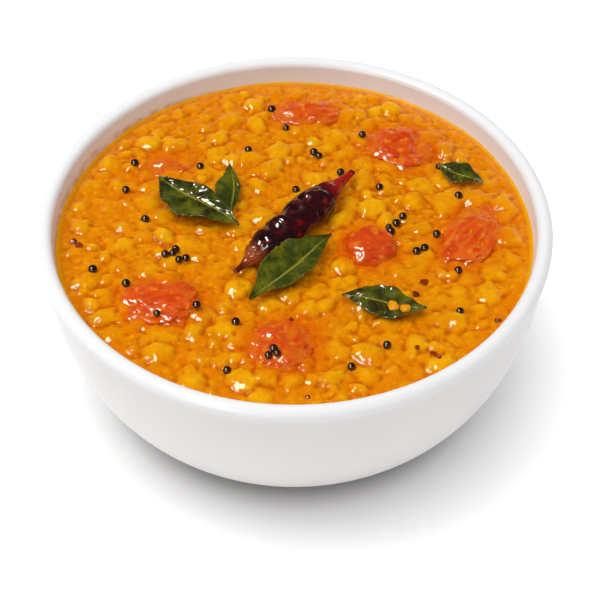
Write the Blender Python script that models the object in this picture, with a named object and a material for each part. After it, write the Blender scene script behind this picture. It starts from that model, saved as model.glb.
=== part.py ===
# A bowl of cooked dal: yellow split lentils in gravy, with a dried red chilli, five curry
# leaves and seven pieces of tomato lying on top, in a thick white bowl with a rolled lip.
# Lengths are in metres, +Z is up, and the bowl stands on z = 0 with its axis on the Z axis.
import math
import random

import bmesh
import bpy
import numpy as np
from mathutils import Vector, noise

MM = 0.001
GAP = 0.3 * MM                    # clear space left between pieces that rest on each other
WELD = 0.001 * MM                 # vertices closer than this are one vertex

# Bowl
BOWL_RADIUS = 75.0 * MM           # over the rolled lip
BOWL_HEIGHT = 61.0 * MM
LIP_RADII = (2.35 * MM, 2.2 * MM)  # half width and half height of the rolled lip
LIP_ANGLES = (-55.0, 180.0)       # where the roll starts outside and ends inside, in degrees
LIP_DROP = LIP_RADII[1] / 3       # how far under the lip's middle the inner wall starts
LIP_STEPS = 8
WALL_RADIUS = 73.7 * MM           # outside of the wall, just under the lip
WALL_TOP = 56.0 * MM              # height at which the outer wall stands upright
WALL_STEPS = 8
BASE_RADIUS = 42.0 * MM
FOOT_HEIGHT = 1.5 * MM
FOOT_OUTER_RADIUS = 41.0 * MM
FOOT_INNER_RADIUS = 36.0 * MM
FOOT_BEVEL = 0.7 * MM
FOOT_RECESS = 1.2 * MM            # how far the underside stands up inside the foot
INNER_FLOOR = 6.0 * MM
INNER_FLOOR_RADIUS = 42.0 * MM
INNER_RADII = (29.1 * MM, 69.0 * MM)  # half axes of the ellipse that the inner wall follows
BOWL_SEGMENTS = 48
INNER_WALL_STEPS = 5              # from the dal's edge down to the inner floor

# Dal
DAL_LEVEL = 53.8 * MM             # where the gravy meets the wall
DAL_CROWN = 0.4 * MM              # how much higher the gravy stands in the middle
DAL_RINGS = 20                    # rings of the surface
DAL_SECTORS = 6                   # sectors of each ring, which gain a vertex from ring to ring
LUMP_SPACING = 7.2 * MM           # between the soft lumps of lentils
LUMP_RADIUS = (3.6 * MM, 4.8 * MM)
LUMP_HEIGHT = (1.0 * MM, 2.0 * MM)
LUMP_MARGIN = 5.0 * MM            # smooth gravy left along the wall
LUMP_JITTER = 0.3                 # how far a lump strays, as a share of the spacing
LUMP_SEED = 7

# Chilli, from its pointed end to its stalk end
CHILLI_START = (-17.1 * MM, -17.7 * MM, 56.3 * MM)
CHILLI_END = (17.4 * MM, 23.3 * MM, 57.4 * MM)
CHILLI_SWAY = 0.9 * MM            # sideways bend of its middle
CHILLI_ARCH = 0.6 * MM            # upward bend of its middle
CHILLI_FLATNESS = 0.8             # height of its section over its width
CHILLI_SEGMENTS = 16
CHILLI_RINGS = 14
CHILLI_TIP_STEP = 0.3             # length of each pointed end, in steps between the rings
CHILLI_ROUNDING = 0.4             # 0 joins the widths below by straight lines, 1 by smooth steps
# share of the length, half width there
CHILLI_WIDTHS = (
    (0.00, 0.7 * MM),
    (0.08, 1.3 * MM),
    (0.20, 3.5 * MM),
    (0.32, 4.8 * MM),
    (0.65, 5.1 * MM),
    (0.80, 3.7 * MM),
    (0.90, 1.9 * MM),
    (1.00, 0.8 * MM),
)

# Curry leaves
LEAF_THICKNESS = 0.6 * MM
LEAF_STATIONS = 10
LEAF_BLUNTNESS = 0.95             # power of the outline, under 1 for fuller ends
LEAF_TAPER = 0.3                  # power by which the thickness fades to the pointed ends
# name: start, end, width to the left and right of the midrib, how far each edge stands up,
# and how far the middle of the leaf stands up. Left is seen along the leaf from its start.
LEAVES = {
    "curry_leaf_1": ((-40.6, 21.7, 56.5), (-16.2, 0.7, 56.6), 8.0, 8.0, 2.4, 1.0, 0.0),
    "curry_leaf_2": ((-19.1, 29.2, 55.8), (-18.0, 5.6, 55.3), 2.6, 5.0, 0.9, 0.4, 0.0),
    "curry_leaf_3": ((-12.4, -29.6, 56.2), (11.3, -3.2, 56.8), 6.8, 7.0, 2.6, 0.6, 0.3),
    "curry_leaf_4": ((13.2, -27.2, 56.0), (37.1, -32.4, 55.8), 5.6, 5.6, 0.5, 0.3, 0.2),
    "curry_leaf_5": ((43.1, 27.8, 55.5), (56.3, 19.5, 55.5), 4.4, 4.0, 0.3, 0.3, 0.0),
}

# Tomato pieces
TOMATO_SEGMENTS = 10
TOMATO_STACKS = 7
TOMATO_ROUGHNESS = 0.16           # unevenness, as a share of the radius
TOMATO_FOLDS = 1.6                # how close together the uneven places lie
TOMATO_SQUARENESS = 0.8           # power of the ball, under 1 for a fuller cushion
# name: centre, half sizes along and across and upward, turn in degrees
TOMATOES = {
    "tomato_1": ((4.0, 54.0, 53.6), (10.2, 6.0, 3.2), 0.0),
    "tomato_2": ((32.5, 38.0, 53.6), (10.4, 9.0, 3.6), -12.0),
    "tomato_3": ((-38.7, 30.3, 53.1), (9.2, 6.4, 3.2), 20.0),
    "tomato_4": ((-37.7, -27.8, 53.8), (10.8, 7.8, 3.6), -8.0),
    "tomato_5": ((-3.4, -44.4, 53.4), (9.4, 9.0, 3.4), 24.0),
    "tomato_6": ((22.1, -5.8, 53.9), (7.4, 7.2, 4.1), 18.0),
    "tomato_7": ((52.2, -1.6, 53.7), (12.6, 8.6, 3.5), 62.0),
}

POCKET_REACH = 20.0 * MM          # how far a pocket in the dal is cut upward

# colour, roughness, metallic
FINISHES = {
    "bowl": ((0.84, 0.83, 0.82), 0.25, 0.0),
    "dal": ((0.62, 0.25, 0.02), 0.30, 0.0),
    "chilli": ((0.10, 0.008, 0.008), 0.20, 0.0),
    "curry_leaf": ((0.045, 0.085, 0.012), 0.30, 0.0),
    "tomato": ((0.62, 0.075, 0.012), 0.25, 0.0),
}


def clear_scene():
    for item in list(bpy.data.objects):
        bpy.data.objects.remove(item, do_unlink=True)


def make_material(name):
    colour, roughness, metallic = FINISHES[name]
    material = bpy.data.materials.new(name)
    material.use_nodes = True
    shader = material.node_tree.nodes["Principled BSDF"]
    shader.inputs["Base Color"].default_value = (*colour, 1.0)
    shader.inputs["Roughness"].default_value = roughness
    shader.inputs["Metallic"].default_value = metallic
    return material


def add_object(name, bm, material):
    # Triangles keep a piece and the pocket cut for it the same shape.
    bmesh.ops.remove_doubles(bm, verts=bm.verts[:], dist=WELD)
    bmesh.ops.triangulate(bm, faces=bm.faces[:])
    bmesh.ops.recalc_face_normals(bm, faces=bm.faces[:])
    mesh = bpy.data.meshes.new(name)
    bm.to_mesh(mesh)
    bm.free()
    mesh.shade_smooth()
    mesh.materials.append(material)
    item = bpy.data.objects.new(name, mesh)
    bpy.context.scene.collection.objects.link(item)
    return item


def spin_outline(outline, segments):
    # Turns an outline of (radius, height) points round the Z axis. Both its ends are on the axis.
    bm = bmesh.new()
    points = [bm.verts.new((radius, 0.0, height)) for radius, height in outline]
    lines = [bm.edges.new(pair) for pair in zip(points, points[1:])]
    bmesh.ops.spin(
        bm,
        geom=points + lines,
        cent=(0.0, 0.0, 0.0),
        axis=(0.0, 0.0, 1.0),
        angle=math.tau,
        steps=segments,
        use_merge=True,
    )
    return bm


def skin_rings(start, rings, end):
    # One closed skin from a point, through rings that have the same number of points, to a point.
    bm = bmesh.new()
    first = bm.verts.new(start)
    last = bm.verts.new(end)
    loops = [[bm.verts.new(point) for point in ring] for ring in rings]
    count = len(loops[0])
    for step in range(count):
        beside = (step + 1) % count
        bm.faces.new((first, loops[0][beside], loops[0][step]))
        bm.faces.new((last, loops[-1][step], loops[-1][beside]))
        for low, high in zip(loops, loops[1:]):
            bm.faces.new((low[step], low[beside], high[beside], high[step]))
    return bm


def ellipse_arc(centre, radii, start, end, steps):
    # Points of an ellipse between two angles in degrees, measured up from straight outward.
    angles = np.radians(np.linspace(start, end, steps + 1))
    return [
        (centre[0] + radii[0] * math.cos(angle), centre[1] + radii[1] * math.sin(angle))
        for angle in angles
    ]


def inner_wall_angle(height):
    # The angle on the inner wall's ellipse at which the wall reaches a height.
    centre_height = INNER_FLOOR + INNER_RADII[1]
    return math.degrees(math.asin((height - centre_height) / INNER_RADII[1]))


def inner_wall(start, end, steps, clearance=0.0):
    # Part of the bowl's inner wall, or of a line that stays a clearance inside it.
    centre = (INNER_FLOOR_RADIUS - clearance, INNER_FLOOR + INNER_RADII[1] + clearance)
    return ellipse_arc(centre, INNER_RADII, start, end, steps)


# Bowl: foot, outer wall, rolled lip and inner wall, all one turned solid.
def make_bowl():
    lip_centre = (BOWL_RADIUS - LIP_RADII[0], BOWL_HEIGHT - LIP_RADII[1])
    level_angle = inner_wall_angle(DAL_LEVEL)
    lip_angle = inner_wall_angle(lip_centre[1] - LIP_DROP)
    outline = [
        (0.0, FOOT_RECESS),
        (FOOT_INNER_RADIUS, FOOT_RECESS),
        (FOOT_INNER_RADIUS + FOOT_BEVEL, 0.0),
        (FOOT_OUTER_RADIUS - FOOT_BEVEL, 0.0),
        (FOOT_OUTER_RADIUS, FOOT_BEVEL),
        (FOOT_OUTER_RADIUS, FOOT_HEIGHT),
    ]
    wall_radii = (WALL_RADIUS - BASE_RADIUS, WALL_TOP - FOOT_HEIGHT)
    outline += ellipse_arc((BASE_RADIUS, WALL_TOP), wall_radii, -90, 0, WALL_STEPS)
    outline += ellipse_arc(lip_centre, LIP_RADII, *LIP_ANGLES, LIP_STEPS)
    outline += inner_wall(lip_angle, level_angle, 1)
    outline += inner_wall(level_angle, -90, INNER_WALL_STEPS)[1:]
    outline.append((0.0, INNER_FLOOR))
    return add_object("bowl", spin_outline(outline, BOWL_SEGMENTS), make_material("bowl"))


# Dal: a filling that follows the bowl, with a lumpy surface and a smooth margin of gravy.
def scatter_lumps(radius):
    # A jittered grid of staggered rows: place, radius and height of each lump.
    picker = random.Random(LUMP_SEED)
    row_height = LUMP_SPACING * math.sqrt(3) / 2
    reach = int(radius / row_height) + 1
    lumps = []
    for row in range(-reach, reach + 1):
        for column in range(-reach, reach + 1):
            stagger = 0.5 * (row % 2)
            x = (column + stagger + picker.uniform(-LUMP_JITTER, LUMP_JITTER)) * LUMP_SPACING
            y = (row + picker.uniform(-LUMP_JITTER, LUMP_JITTER)) * row_height
            size = picker.uniform(*LUMP_RADIUS)
            height = picker.uniform(*LUMP_HEIGHT)
            if math.hypot(x, y) < radius - LUMP_MARGIN:
                lumps.append((x, y, size, height))
    return lumps


def dal_height(x, y, radius, lumps):
    distance = math.hypot(x, y)
    crown = DAL_CROWN * (1 - (distance / radius) ** 2)
    highest = 0.0
    for lump_x, lump_y, size, height in lumps:
        inside = 1 - ((x - lump_x) ** 2 + (y - lump_y) ** 2) / size ** 2
        if inside > 0:
            highest = max(highest, height * math.sqrt(inside))
    return DAL_LEVEL + crown + highest


def make_dal():
    level_angle = inner_wall_angle(DAL_LEVEL)
    side = inner_wall(level_angle, -90, INNER_WALL_STEPS, clearance=GAP)
    radius = side[0][0]
    lumps = scatter_lumps(radius)
    bm = bmesh.new()
    loops = []
    for ring in range(DAL_RINGS + 1):
        count = max(1, DAL_SECTORS * ring)
        loop = []
        for step in range(count):
            angle = math.tau * step / count
            x = radius * ring / DAL_RINGS * math.cos(angle)
            y = radius * ring / DAL_RINGS * math.sin(angle)
            loop.append(bm.verts.new((x, y, dal_height(x, y, radius, lumps))))
        loops.append(loop)
    # Each sector has one vertex more than on the ring inside it.
    for ring in range(1, DAL_RINGS + 1):
        outer = loops[ring]
        inner = loops[ring - 1]
        for sector in range(DAL_SECTORS):
            for step in range(ring):
                at = sector * ring + step
                inside = (sector * (ring - 1) + step) % len(inner)
                bm.faces.new((outer[at], outer[(at + 1) % len(outer)], inner[inside]))
                if step < ring - 1:
                    after = (inside + 1) % len(inner)
                    bm.faces.new((inner[inside], outer[at + 1], inner[after]))
    above = loops[-1]
    for side_radius, height in side[1:]:
        below = []
        for step in range(len(above)):
            angle = math.tau * step / len(above)
            place = (side_radius * math.cos(angle), side_radius * math.sin(angle), height)
            below.append(bm.verts.new(place))
        for step in range(len(above)):
            beside = (step + 1) % len(above)
            bm.faces.new((above[step], below[step], below[beside], above[beside]))
        above = below
    bm.faces.new(above)
    return add_object("dal", bm, make_material("dal"))


# Chilli: a bent body of oval sections that narrows to a point and to a short stalk.
def chilli_half_width(share):
    # Rounded steps between the given widths.
    for (low, low_width), (high, high_width) in zip(CHILLI_WIDTHS, CHILLI_WIDTHS[1:]):
        if share <= high:
            part = (share - low) / (high - low)
            rounded = part * part * (3 - 2 * part)
            blend = part + (rounded - part) * CHILLI_ROUNDING
            return low_width + (high_width - low_width) * blend
    return CHILLI_WIDTHS[-1][1]


def make_chilli():
    start = Vector(CHILLI_START)
    end = Vector(CHILLI_END)
    along = (end - start).normalized()
    across = along.cross(Vector((0, 0, 1))).normalized()
    upward = across.cross(along)
    steps = CHILLI_RINGS - 1 + 2 * CHILLI_TIP_STEP
    rings = []
    for station in range(CHILLI_RINGS):
        share = (station + CHILLI_TIP_STEP) / steps
        bend = math.sin(math.pi * share)
        centre = start.lerp(end, share) + across * CHILLI_SWAY * bend + upward * CHILLI_ARCH * bend
        half_width = chilli_half_width(share)
        ring = []
        for step in range(CHILLI_SEGMENTS):
            angle = math.tau * step / CHILLI_SEGMENTS
            side = across * math.cos(angle) * half_width
            rise = upward * math.sin(angle) * half_width * CHILLI_FLATNESS
            ring.append(centre + side + rise)
        rings.append(ring)
    return add_object("chilli", skin_rings(start, rings, end), make_material("chilli"))


# Curry leaf: a pointed leaf, thin at its edges, whose halves stand up from the midrib.
def make_leaf(name, material):
    start, end, left_width, right_width, left_rise, right_rise, arch = LEAVES[name]
    start = Vector(start) * MM
    end = Vector(end) * MM
    along = end - start
    leftward = Vector((-along.y, along.x, 0.0)).normalized()
    upward = Vector((0.0, 0.0, 1.0))
    # Places round the section: share of the half width, and side of the leaf.
    section = ((1, 0), (0.5, 1), (0, 1), (-0.5, 1), (-1, 0), (-0.5, -1), (0, -1), (0.5, -1))
    rings = []
    for station in range(1, LEAF_STATIONS):
        share = station / LEAF_STATIONS
        fullness = math.sin(math.pi * share) ** LEAF_BLUNTNESS
        spine = start + along * share + upward * arch * MM * math.sin(math.pi * share)
        ring = []
        for place, face in section:
            width = left_width if place > 0 else right_width
            rise = left_rise if place > 0 else right_rise
            sideways = leftward * place * width * MM * fullness
            half_thickness = LEAF_THICKNESS / 2 * fullness ** LEAF_TAPER
            lift = rise * MM * abs(place) * fullness + face * half_thickness
            ring.append(spine + sideways + upward * lift)
        rings.append(ring)
    return add_object(name, skin_rings(start, rings, end), material)


# Tomato piece: an uneven soft cushion with a few shallow folds.
def make_tomato(name, material):
    centre, half_sizes, turn = TOMATOES[name]
    bm = bmesh.new()
    bmesh.ops.create_uvsphere(
        bm, u_segments=TOMATO_SEGMENTS, v_segments=TOMATO_STACKS, radius=1.0
    )
    offset = Vector(centre)
    for vertex in bm.verts:
        bulge = 1 + TOMATO_ROUGHNESS * noise.noise(vertex.co * TOMATO_FOLDS + offset)
        filled = [math.copysign(abs(value) ** TOMATO_SQUARENESS, value) for value in vertex.co]
        vertex.co = Vector([value * bulge * size * MM for value, size in zip(filled, half_sizes)])
    item = add_object(name, bm, material)
    item.location = offset * MM
    item.rotation_euler = (0.0, 0.0, math.radians(turn))
    return item


def cut_pocket(dal, topping):
    # Cuts the dal round a topping. The cutter wraps the topping, grown by the gap, together
    # with a raised copy of it, so that no dal closes over the topping.
    wrap = bmesh.new()
    for vertex in topping.data.vertices:
        place = topping.matrix_world @ vertex.co
        outward = topping.matrix_world.to_3x3() @ vertex.normal
        grown = place + outward * GAP
        wrap.verts.new(grown)
        wrap.verts.new(grown + Vector((0.0, 0.0, POCKET_REACH)))
    hull = bmesh.ops.convex_hull(wrap, input=wrap.verts[:])
    spare = [item for item in hull["geom_interior"] if isinstance(item, bmesh.types.BMVert)]
    bmesh.ops.delete(wrap, geom=spare, context="VERTS")
    cutter = add_object("cutter_" + topping.name, wrap, topping.data.materials[0])
    cutter.hide_render = True
    cutter.display_type = "WIRE"
    modifier = dal.modifiers.new("pocket_" + topping.name, "BOOLEAN")
    modifier.operation = "DIFFERENCE"
    modifier.object = cutter


def main():
    clear_scene()
    make_bowl()
    dal = make_dal()
    toppings = [make_chilli()]
    leaf_green = make_material("curry_leaf")
    toppings += [make_leaf(name, leaf_green) for name in LEAVES]
    tomato_red = make_material("tomato")
    toppings += [make_tomato(name, tomato_red) for name in TOMATOES]
    bpy.context.view_layer.update()
    for topping in toppings:
        cut_pocket(dal, topping)


main()
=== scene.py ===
# Bowl of dal: lentils in gravy with a dried chilli, curry leaves, tomato and mustard seeds.
# Settings are in millimetres, the scene is in metres.
import math

import bmesh
import bpy
import numpy as np
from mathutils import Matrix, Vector, noise
from mathutils.bvhtree import BVHTree


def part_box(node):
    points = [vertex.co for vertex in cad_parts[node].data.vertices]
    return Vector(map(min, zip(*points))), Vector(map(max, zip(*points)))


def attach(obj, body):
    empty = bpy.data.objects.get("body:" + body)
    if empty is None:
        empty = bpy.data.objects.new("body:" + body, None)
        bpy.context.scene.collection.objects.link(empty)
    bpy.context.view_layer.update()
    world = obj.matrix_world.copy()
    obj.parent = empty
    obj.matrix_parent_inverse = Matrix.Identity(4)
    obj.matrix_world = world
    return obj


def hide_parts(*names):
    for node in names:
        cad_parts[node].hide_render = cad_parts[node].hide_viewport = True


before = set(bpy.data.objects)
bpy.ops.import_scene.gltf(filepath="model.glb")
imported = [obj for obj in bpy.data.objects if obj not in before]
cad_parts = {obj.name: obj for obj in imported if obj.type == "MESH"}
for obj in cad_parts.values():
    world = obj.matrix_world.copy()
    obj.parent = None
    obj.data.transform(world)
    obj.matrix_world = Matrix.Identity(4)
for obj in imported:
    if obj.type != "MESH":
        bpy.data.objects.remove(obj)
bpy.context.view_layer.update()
mm = 0.001


# Small helpers for shapes

def smoothStep(low, high, values):
    part = np.clip((values - low) / (high - low), 0.0, 1.0)
    return part * part * (3 - 2 * part)


def softMax(first, second, blend):
    gap = np.maximum(blend - np.abs(first - second), 0.0)
    return np.maximum(first, second) + gap * gap / (4 * blend)


def hills(x, y, size, seed):
    # soft random hills and hollows, about one every size, between -1 and 1
    span = 97
    angles = np.random.default_rng(seed).uniform(0, math.tau, (span, span))
    u = x / size
    v = y / size
    left = np.floor(u).astype(int)
    low = np.floor(v).astype(int)
    du = u - left
    dv = v - low
    fadeU = du ** 3 * (du * (du * 6 - 15) + 10)
    fadeV = dv ** 3 * (dv * (dv * 6 - 15) + 10)

    def corner(stepU, stepV):
        angle = angles[(left + stepU) % span, (low + stepV) % span]
        return np.cos(angle) * (du - stepU) + np.sin(angle) * (dv - stepV)

    near = corner(0, 0) * (1 - fadeU) + corner(1, 0) * fadeU
    far = corner(0, 1) * (1 - fadeU) + corner(1, 1) * fadeU
    return (near * (1 - fadeV) + far * fadeV) * 1.5


def layered(x, y, layers):
    # hills of several sizes on top of each other, each as height, size and seed
    return sum(height * hills(x, y, size, seed) for height, size, seed in layers)


def roughen(points, seed):
    # the same kind of hills for points in space, about one for every unit
    shift = Vector((seed * 1.31, seed * 0.77, seed * 2.03))
    return np.array([noise.noise(Vector(point) + shift) for point in points]) * 1.6


def ruffled(points, height, size, seeds):
    # points pushed a little out of place, with one seed for each direction
    return points + np.column_stack([height * roughen(points / size, seed) for seed in seeds])


def makePiece(name, points, faces, material, marks=None):
    # points are in millimetres, marks are named values for each point
    mesh = bpy.data.meshes.new(name)
    mesh.from_pydata((np.asarray(points) * mm).tolist(), [], faces)
    mesh.validate()
    mesh.update()
    mesh.shade_smooth()
    for markName, values in (marks or {}).items():
        mark = mesh.attributes.new(markName, "FLOAT", "POINT")
        mark.data.foreach_set("value", np.asarray(values, dtype=np.float32))
    mesh.materials.append(material)
    piece = bpy.data.objects.new(name, mesh)
    bpy.context.scene.collection.objects.link(piece)
    return piece


grounds = []             # surfaces that small things come to rest on


def topOf(x, y):
    above = Vector((x, y, 90)) * mm
    hits = [ground.ray_cast(above, Vector((0, 0, -1)))[0] for ground in grounds]
    return max(hit.z for hit in hits if hit) / mm


def place(piece, node):
    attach(piece, "root")
    if node:
        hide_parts(node)
    return piece


def ringFaces(rings, around, first=0):
    # quads between rings of points that follow each other in the list
    faces = []
    for ring in range(rings - 1):
        base = first + ring * around
        for step in range(around):
            beside = (step + 1) % around
            faces.append((base + step, base + beside, base + around + beside, base + around + step))
    return faces


def roundBall(fineness):
    ball = bmesh.new()
    bmesh.ops.create_icosphere(ball, subdivisions=fineness, radius=1.0)
    ball.verts.index_update()
    shape = np.array([spot.co for spot in ball.verts])
    faces = [[spot.index for spot in face.verts] for face in ball.faces]
    ball.free()
    return shape, faces


def corners(node):
    low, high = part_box(node)
    return np.array(low) / mm, np.array(high) / mm


# Small helpers for shader nodes

def plug(tree, socket, value):
    if isinstance(value, bpy.types.NodeSocket):
        tree.links.new(value, socket)
    else:
        socket.default_value = value


def addMath(tree, operation, first, second=0.5, third=None):
    node = tree.nodes.new("ShaderNodeMath")
    node.operation = operation
    plug(tree, node.inputs[0], first)
    plug(tree, node.inputs[1], second)
    if third is not None:
        plug(tree, node.inputs[2], third)
    return node.outputs[0]


def addMix(tree, factor, first, second):
    node = tree.nodes.new("ShaderNodeMix")
    node.data_type = "RGBA"
    plug(tree, node.inputs[0], factor)
    plug(tree, node.inputs[6], first)
    plug(tree, node.inputs[7], second)
    return node.outputs[2]


def addRange(tree, value, low, high, newLow=0.0, newHigh=1.0):
    node = tree.nodes.new("ShaderNodeMapRange")
    node.interpolation_type = "SMOOTHSTEP"
    for socket, setting in zip(node.inputs, (value, low, high, newLow, newHigh)):
        plug(tree, socket, setting)
    return node.outputs[0]


def addNoise(tree, vector, scale, detail=3.0, warp=0.0):
    node = tree.nodes.new("ShaderNodeTexNoise")
    plug(tree, node.inputs["Vector"], vector)
    plug(tree, node.inputs["Scale"], scale)
    node.inputs["Detail"].default_value = detail
    node.inputs["Distortion"].default_value = warp
    return node.outputs["Fac"]


def addPlace(tree):
    return tree.nodes.new("ShaderNodeTexCoord").outputs["Object"]


def addMark(tree, name):
    node = tree.nodes.new("ShaderNodeAttribute")
    node.attribute_name = name
    return node.outputs["Fac"]


def addBump(tree, height, distance):
    node = tree.nodes.new("ShaderNodeBump")
    node.inputs["Distance"].default_value = distance
    plug(tree, node.inputs["Height"], height)
    return node.outputs["Normal"]


def colour(red, green, blue):
    # screen values from 0 to 255 turned into scene light
    def scene(value):
        value /= 255
        return value / 12.92 if value <= 0.04045 else ((value + 0.055) / 1.055) ** 2.4
    return (scene(red), scene(green), scene(blue), 1.0)


def newGroup(name, inputs, outputs):
    group = bpy.data.node_groups.new(name, "ShaderNodeTree")
    for socketName, socketType, value in inputs:
        socket = group.interface.new_socket(socketName, in_out="INPUT", socket_type=socketType)
        socket.default_value = value
    for socketName, socketType in outputs:
        group.interface.new_socket(socketName, in_out="OUTPUT", socket_type=socketType)
    entry = group.nodes.new("NodeGroupInput")
    leave = group.nodes.new("NodeGroupOutput")
    return group, entry.outputs, leave.inputs


def useGroup(tree, group, **settings):
    node = tree.nodes.new("ShaderNodeGroup")
    node.node_tree = group
    for name, value in settings.items():
        plug(tree, node.inputs[name.replace("_", " ")], value)
    return node.outputs


# Two neighbouring shades in soft patches, with finer freckles of a third one
def buildTonePatches():
    group, given, result = newGroup("tonePatches", [
        ("Color", "NodeSocketColor", (0.8, 0.8, 0.8, 1)),
        ("Patch Color", "NodeSocketColor", (0.6, 0.6, 0.6, 1)),
        ("Freckle Color", "NodeSocketColor", (0.4, 0.4, 0.4, 1)),
        ("Patch Scale", "NodeSocketFloat", 100.0),
        ("Freckle Scale", "NodeSocketFloat", 900.0),
        ("Patches", "NodeSocketFloat", 0.5),
        ("Freckles", "NodeSocketFloat", 0.3),
    ], [("Color", "NodeSocketColor")])
    where = addPlace(group)
    patch = addRange(group, addNoise(group, where, given["Patch Scale"], 3.0, 0.6), 0.38, 0.66)
    patch = addMath(group, "MULTIPLY", patch, given["Patches"])
    freckle = addRange(group, addNoise(group, where, given["Freckle Scale"], 2.0), 0.52, 0.74)
    freckle = addMath(group, "MULTIPLY", freckle, given["Freckles"])
    shade = addMix(group, patch, given["Color"], given["Patch Color"])
    plug(group, result["Color"], addMix(group, freckle, shade, given["Freckle Color"]))
    return group


# A thin wet film: smoother where it pools, with small ripples and pimples under it
def buildWetFilm():
    group, given, result = newGroup("wetFilm", [
        ("Scale", "NodeSocketFloat", 400.0),
        ("Wet Roughness", "NodeSocketFloat", 0.15),
        ("Dry Roughness", "NodeSocketFloat", 0.4),
        ("Ripples", "NodeSocketFloat", 0.6),
        ("Pimples", "NodeSocketFloat", 0.2),
    ], [("Roughness", "NodeSocketFloat"), ("Height", "NodeSocketFloat")])
    where = addPlace(group)
    pool = addRange(group, addNoise(group, where, given["Scale"], 2.0, 0.4), 0.35, 0.65)
    span = addMath(group, "SUBTRACT", given["Dry Roughness"], given["Wet Roughness"])
    plug(group, result["Roughness"], addMath(group, "MULTIPLY_ADD", pool, span, given["Wet Roughness"]))
    fine = addMath(group, "MULTIPLY", given["Scale"], 2.3)
    ripple = addNoise(group, where, fine, 2.0, 1.4)
    ripple = addMath(group, "ABSOLUTE", addMath(group, "SUBTRACT", ripple, 0.5))
    ripple = addMath(group, "MULTIPLY", ripple, given["Ripples"])
    finest = addMath(group, "MULTIPLY", given["Scale"], 6.0)
    pimple = addMath(group, "MULTIPLY", addNoise(group, where, finest, 1.0), given["Pimples"])
    plug(group, result["Height"], addMath(group, "SUBTRACT", pimple, ripple))
    return group


tonePatches = buildTonePatches()
wetFilm = buildWetFilm()


def newMaterial(name, roughness, specular, coat=0.0, coatRoughness=0.1):
    material = bpy.data.materials.new(name)
    material.use_nodes = True
    tree = material.node_tree
    shader = tree.nodes["Principled BSDF"]
    shader.inputs["Roughness"].default_value = roughness
    shader.inputs["Specular IOR Level"].default_value = specular
    shader.inputs["Coat Weight"].default_value = coat
    shader.inputs["Coat Roughness"].default_value = coatRoughness
    return material, tree, shader


def tintWhere(tree, shade, markName, share, tone):
    # the shade turns to the tone where the mark is strong
    return addMix(tree, addMath(tree, "MULTIPLY", addMark(tree, markName), share), shade, tone)


def addFilm(tree, shader, depth, **settings):
    # the wet film on a material, with ripples of the given depth in metres
    film = useGroup(tree, wetFilm, **settings)
    plug(tree, shader.inputs["Roughness"], film["Roughness"])
    plug(tree, shader.inputs["Normal"], addBump(tree, film["Height"], depth))


def addFlesh(shader, weight, radius, scale):
    # light that soaks a little way into soft food
    shader.inputs["Subsurface Weight"].default_value = weight
    shader.inputs["Subsurface Radius"].default_value = radius
    shader.inputs["Subsurface Scale"].default_value = scale


print("helpers ready")

# Bowl: thick white stoneware with a rolled lip
bowlLook = {
    "segments": 288,
    "lipHalfWidth": 2.35,
    "lipHalfHeight": 2.2,
    "wallRadius": 73.7,        # just under the lip
    "wallTop": 56.0,
    "baseRadius": 42.0,
    "footHeight": 1.5,
    "footOuter": 41.0,
    "footInner": 36.0,
    "footRecess": 1.2,
    "lipArc": (-52, 178),      # degrees that the rolled lip runs round
    "innerFloor": 6.0,
    "innerFloorRadius": 42.0,
    "innerHalfAxes": (29.1, 69.0),
    "insideFrom": 12,          # painted light: the lighter inside glaze starts this many rings before the lip's top
    "insideFade": 6,
    "middleRing": 2.0,         # radius of the rings next to the middle
    "recessRing": 20.0,
    "tideRise": (-2.2, 1.6),   # how far the tide mark climbs, at the right and at the left
    "tideStrength": 0.55,
    # painted shade: the outer glaze, with its patch and speck tones, is darker than the inside glaze
    "glaze": colour(224, 221, 220),
    "glazeShade": colour(220, 217, 216),
    "glazeSpeck": colour(228, 225, 221),
    # painted light: a lighter glaze for the inside and the lip
    "litGlazeInside": colour(248, 249, 250),
    "bareClay": colour(222, 214, 203),
    "tideMark": colour(206, 120, 38),
    "roughness": 0.3,
}
dalLevel = 53.8          # where the gravy meets the wall


def arc(centre, radii, start, end, steps):
    angles = np.radians(np.linspace(start, end, steps + 1))
    return [(centre[0] + radii[0] * math.cos(a), centre[1] + radii[1] * math.sin(a)) for a in angles]


def innerRadius(height):
    across, up = bowlLook["innerHalfAxes"]
    lean = (np.asarray(height) - bowlLook["innerFloor"] - up) / up
    return bowlLook["innerFloorRadius"] + across * np.sqrt(np.clip(1 - lean * lean, 0, 1))


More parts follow.
